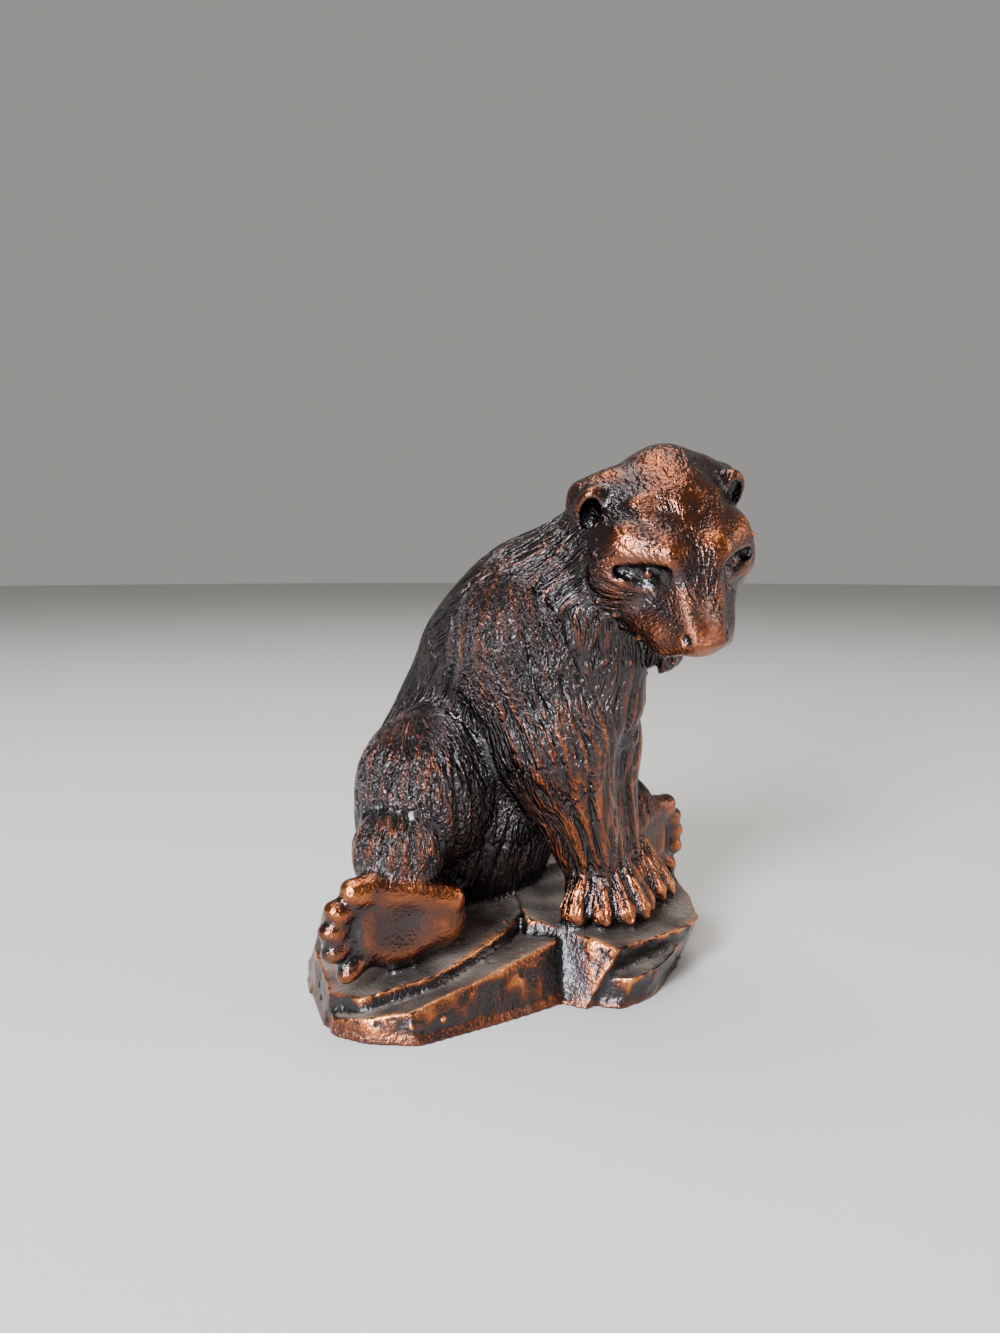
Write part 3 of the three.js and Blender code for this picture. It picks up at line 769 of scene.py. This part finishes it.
def thinned(points, faces):
    """A mesh of the skin with the flattest places thinned out, in millimetres."""
    mesh = bpy.data.meshes.new("bear_skin")
    mesh.from_pydata(points.tolist(), [], faces.tolist())
    draft = bpy.data.objects.new("draft", mesh)
    bpy.context.scene.collection.objects.link(draft)
    thinning = draft.modifiers.new("thinning", "DECIMATE")
    thinning.ratio = min(1, TRIANGLES / (2 * len(faces)))
    graph = bpy.context.evaluated_depsgraph_get()
    thin = bpy.data.meshes.new_from_object(draft.evaluated_get(graph))
    bpy.data.objects.remove(draft)
    return thin


def read_vectors(mesh, field):
    """One vector for each point of a mesh: its place or its normal."""
    vectors = np.zeros(len(mesh.vertices) * 3)
    mesh.vertices.foreach_get(field, vectors)
    return vectors.reshape(-1, 3)


def edge_ends(mesh):
    """The first and last points of all edges."""
    ends = np.zeros(len(mesh.edges) * 2, int)
    mesh.edges.foreach_get("vertices", ends)
    return ends.reshape(-1, 2).T


def bulge(mesh, rounds, height):
    """How far each point stands proud of the skin smoothed over some rounds, in shares of a height."""
    points, normals = read_vectors(mesh, "co"), read_vectors(mesh, "normal")
    first, second = edge_ends(mesh)
    count = np.bincount(first, minlength=len(points)) + np.bincount(second, minlength=len(points))

    def average(values):
        total = np.bincount(first, values[second], len(points))
        total += np.bincount(second, values[first], len(points))
        return total / count

    smooth = points.copy()
    for _ in range(rounds):
        smooth = np.stack([0.5 * (smooth[:, n] + average(smooth[:, n])) for n in range(3)], axis=1)
    proud = ((points - smooth) * normals).sum(axis=1)
    return np.clip(proud / height, -1, 1)


def wear(mesh, clay, forms):
    """How worn the copper is at each point: 0 is black patina and 1 bright metal."""
    points = read_vectors(mesh, "co")
    outward = clay.slope(points)
    skin = skin_at(points, forms, ("worn", "rocky"))
    sunk = np.clip(-clay.at(points) / SUNK_DEPTH, 0, 1) * (1 - ROCK_SPARED * skin["rocky"])
    shades = [1 - np.clip(clay.at(points + outward * reach) / reach, -1, 1) for reach in SHADE_REACHES]
    shade = sum(shades) / len(shades)
    ridge = bulge(mesh, *RIDGE)
    rim = bulge(mesh, *RIM)
    foot = np.clip(points[:, 2] / FOOT_HEIGHT, FOOT_WEAR, 1)
    raised = skin["worn"] * (WEAR["ridge"] * ridge + WEAR["rim"] * rim)
    raised = raised + skin["rocky"] * WEAR["rock_rim"] * np.maximum(rim, 0) * foot
    worn = skin["worn"] + raised + layered(points, WEAR_PATCHES)
    return np.clip(worn - WEAR["sunk"] * sunk - WEAR["shade"] * shade, 0, 1)


def hair_places(mesh, points, forms):
    """Where each point lies on the hair of the form nearest to it, and 0 where two forms meet, else 1."""
    sway = np.stack([noise(points, STRAND_SWAY, seed) for seed in STRAND_SEEDS], axis=1)
    places = points.copy()
    nearest = np.full(len(points), FAR)
    owner = np.zeros(len(points), int)
    for number, form in enumerate(forms):
        if form.fur == 0 or form.cut:
            continue
        near = near_to(form, points)
        distance = np.abs(form.distance(*points[near].T))
        closer = distance < nearest[near]
        chosen = near[closer]
        nearest[chosen] = distance[closer]
        owner[chosen] = number
        places[chosen] = form.comb.place(points[chosen] + sway[chosen])
    ends = edge_ends(mesh)
    meeting = ends[:, owner[ends[0]] != owner[ends[1]]]
    inner = np.ones(len(points))
    inner[meeting.ravel()] = 0
    return places, inner


def set_attribute(mesh, name, values):
    """Store a number or a vector for each point of a mesh."""
    kind, field = ("FLOAT", "value") if values.ndim == 1 else ("FLOAT_VECTOR", "vector")
    attribute = mesh.attributes.new(name, kind, "POINT")
    attribute.data.foreach_set(field, values.astype(np.float32).ravel())


def casting():
    """The whole figurine as one mesh."""
    figure, rocks = bear(), base()
    forms = figure + rocks
    clay = modelled(figure, rocks)
    points, faces = clay.skin()
    normals = clay.slope(points)
    skin = skin_at(points, forms, ("rocky",))
    throat = np.exp(-np.sum((points - THROAT) ** 2, axis=1) / THROAT_REACH**2)
    relief = fur_relief(points, normals, forms) + cast_relief(points, skin["rocky"])
    relief -= drops(points, skin["rocky"] + THROAT_DROPS * throat)
    relief *= np.clip(points[:, 2] / SOLE_RISE, 0, 1)
    low, high = (np.array(corner) / MM for corner in CAD_BOX)
    mesh = thinned(np.clip(points - normals * relief[:, None], low, high), faces)
    paint(mesh, clay, forms)
    mesh.vertices.foreach_set("co", (read_vectors(mesh, "co") * MM).ravel())
    mesh.shade_smooth()
    mesh.update()
    return mesh


def paint(mesh, clay, forms):
    """Give the points what the material reads: wear, dust with a painted sheen, fur and the place on the
    hair.
    """
    points = read_vectors(mesh, "co")
    skin = skin_at(points, forms, ("rocky", "fur"))
    places, inner = hair_places(mesh, points, forms)
    # the rock's level faces get the dust, whose pale grey also paints their sheen
    level = np.clip((clay.slope(points)[:, 2] - DUST_AND_SHEEN_LEVEL) / DUST_AND_SHEEN_RANGE, 0, 1)
    patches = np.clip(DUST_AND_SHEEN_MEAN + layered(points, DUST_AND_SHEEN_PATCHES), DUST_AND_SHEEN_LEAST, 1)
    set_attribute(mesh, "wear", wear(mesh, clay, forms))
    set_attribute(mesh, "rocky", skin["rocky"])
    set_attribute(mesh, "dust_and_sheen", skin["rocky"] * level * patches)
    set_attribute(mesh, "fur", np.clip(skin["fur"] * FUR_GAIN, 0, 1) * inner)
    set_attribute(mesh, "hair", places)


# Material
class Graph:
    """A material whose nodes are added one by one, each with its inputs."""

    def __init__(self, name):
        self.material = bpy.data.materials.new(name)
        self.material.use_nodes = True
        self.tree = self.material.node_tree
        self.shader = self.tree.nodes["Principled BSDF"]

    def feed(self, node, inputs):
        """Join values to a node's inputs, or set them."""
        for name, value in inputs.items():
            if isinstance(value, bpy.types.NodeSocket):
                self.tree.links.new(value, node.inputs[name])
            else:
                node.inputs[name].default_value = value

    def add(self, kind, inputs):
        node = self.tree.nodes.new("ShaderNode" + kind)
        self.feed(node, inputs)
        return node.outputs[0]

    def attribute(self, name, output="Fac"):
        node = self.tree.nodes.new("ShaderNodeAttribute")
        node.attribute_name = name
        return node.outputs[output]

    def place(self):
        return self.tree.nodes.new("ShaderNodeTexCoord").outputs["Object"]

    def reckon(self, operation, *values):
        """A sum or product of values."""
        node = self.tree.nodes.new("ShaderNodeMath")
        node.operation = operation
        self.feed(node, dict(enumerate(values)))
        return node.outputs[0]

    def stretch(self, value, low, high):
        """A value brought from between low and high to between 0 and 1."""
        return self.add("MapRange", {"Value": value, "From Min": low, "From Max": high})

    def ramp(self, value, steps):
        """A colour for each value, blended between steps of a value and a colour."""
        node = self.tree.nodes.new("ShaderNodeValToRGB")
        elements = node.color_ramp.elements
        elements.remove(elements[1])
        elements[0].position = steps[0][0]
        for place, _ in steps[1:]:
            elements.new(place)
        for element, (_, colour) in zip(elements, steps):
            element.color = (*colour, 1)
        self.feed(node, {"Fac": value})
        return node.outputs["Color"]

    def mix(self, share, first, second):
        """A share of the second colour, a plain one, over the first."""
        node = self.tree.nodes.new("ShaderNodeMix")
        node.data_type = "RGBA"
        sockets = {socket.identifier: socket for socket in node.inputs}
        self.tree.links.new(share, sockets["Factor_Float"])
        self.tree.links.new(first, sockets["A_Color"])
        sockets["B_Color"].default_value = (*second, 1)
        return next(socket for socket in node.outputs if socket.identifier == "Result_Color")


def copper():
    """Copper with a dark patina, worn bright where it stands proud, fine strands and a grainy skin, and dust
    with a painted sheen on the rock's level faces.
    """
    graph = Graph("worn_copper")
    fur = graph.attribute("fur")
    # share of dust and painted sheen on the rock's level faces
    dust_and_sheen = graph.attribute("dust_and_sheen")
    grain = graph.add("TexNoise", {"Vector": graph.place(), "Scale": 1 / (GRAIN * MM), "Detail": 3})
    hair = graph.attribute("hair", "Vector")
    strands = graph.add("TexNoise", {"Vector": hair, "Scale": 1 / STRAND, "Detail": 2})
    strands = graph.stretch(strands, *STRAND_RANGE)
    drawn = graph.reckon("MULTIPLY", strands, fur)
    light = graph.reckon("MULTIPLY", graph.reckon("SUBTRACT", strands, 0.5), fur)
    worn = graph.reckon("MULTIPLY_ADD", light, STRAND_TONE, graph.attribute("wear"))
    worn = graph.reckon("MULTIPLY_ADD", graph.reckon("SUBTRACT", grain, 0.5), GRAIN_TONE, worn)
    # the pale grey of the dust and painted sheen over the copper
    tone = graph.mix(dust_and_sheen, graph.ramp(worn, PATINA), DUST_AND_SHEEN_COLOUR)
    gloss = graph.reckon("MULTIPLY_ADD", graph.attribute("rocky"), ROUGHNESS["rock"], ROUGHNESS["copper"])
    gloss = graph.reckon("MULTIPLY_ADD", dust_and_sheen, ROUGHNESS["dust_and_sheen"], gloss)
    # the dust and painted sheen are less metallic, so that their grey shows under any light
    metal = graph.reckon("MULTIPLY_ADD", dust_and_sheen, -DUST_AND_SHEEN_DULLNESS, 1)
    rough = graph.add("Bump", {"Height": grain, "Strength": 1, "Distance": GRAIN_HEIGHT * MM})
    furred = graph.add("Bump", {
        "Height": drawn, "Strength": 1, "Distance": STRAND_HEIGHT * MM, "Normal": rough,
    })
    graph.feed(graph.shader, {"Base Color": tone, "Metallic": metal, "Roughness": gloss, "Normal": furred})
    return graph.material


# Studio
def lamp(name, place, size, power, colour):
    light = bpy.data.lights.new(name, "AREA")
    light.shape = "RECTANGLE"
    light.size, light.size_y = metres(size)
    light.energy = power
    light.color = colour
    holder = bpy.data.objects.new(name, light)
    holder.location = metres(place)
    way = Vector(metres(LAMP_AIM)) - holder.location
    holder.rotation_euler = way.to_track_quat("-Z", "Y").to_euler()
    bpy.context.scene.collection.objects.link(holder)


def studio():
    """Soft lamps in a dimly lit room."""
    for settings in LAMPS:
        lamp(*settings)
    world = bpy.data.worlds.new("room")
    world.use_nodes = True
    background = world.node_tree.nodes["Background"]
    background.inputs["Color"].default_value = (*ROOM_COLOUR, 1)
    background.inputs["Strength"].default_value = ROOM_LIGHT
    bpy.context.scene.world = world


def floor():
    """A pale round floor under the figurine."""
    graph = Graph("pale_floor")
    graph.feed(graph.shader, {"Base Color": (*FLOOR_COLOUR, 1), "Roughness": FLOOR_ROUGHNESS})
    turns = [2 * math.pi * side / FLOOR_SIDES for side in range(FLOOR_SIDES)]
    rim = [metres((FLOOR_RADIUS * math.cos(turn), FLOOR_RADIUS * math.sin(turn), 0)) for turn in turns]
    mesh = bpy.data.meshes.new("floor")
    mesh.from_pydata(rim, [], [tuple(range(FLOOR_SIDES))])
    mesh.materials.append(graph.material)
    slab = bpy.data.objects.new("floor", mesh)
    bpy.context.scene.collection.objects.link(slab)


def camera():
    """A camera where the photograph was taken."""
    lens = bpy.data.cameras.new("photo")
    lens.lens = LENS
    lens.sensor_width = SENSOR
    lens.clip_start = CAMERA_NEAR * MM
    holder = bpy.data.objects.new("photo", lens)
    holder.location = metres(CAMERA_PLACE)
    holder.rotation_euler = (math.radians(90 - CAMERA_NOD), 0, math.radians(-CAMERA_TURN))
    bpy.context.scene.collection.objects.link(holder)
    bpy.context.scene.camera = holder


def main():
    mesh = casting()
    mesh.materials.append(copper())
    figurine = bpy.data.objects.new("copper_polar_bear", mesh)
    bpy.context.scene.collection.objects.link(figurine)
    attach(figurine, "root")
    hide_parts("bear_and_rock_casting")
    floor()
    studio()
    camera()


main()
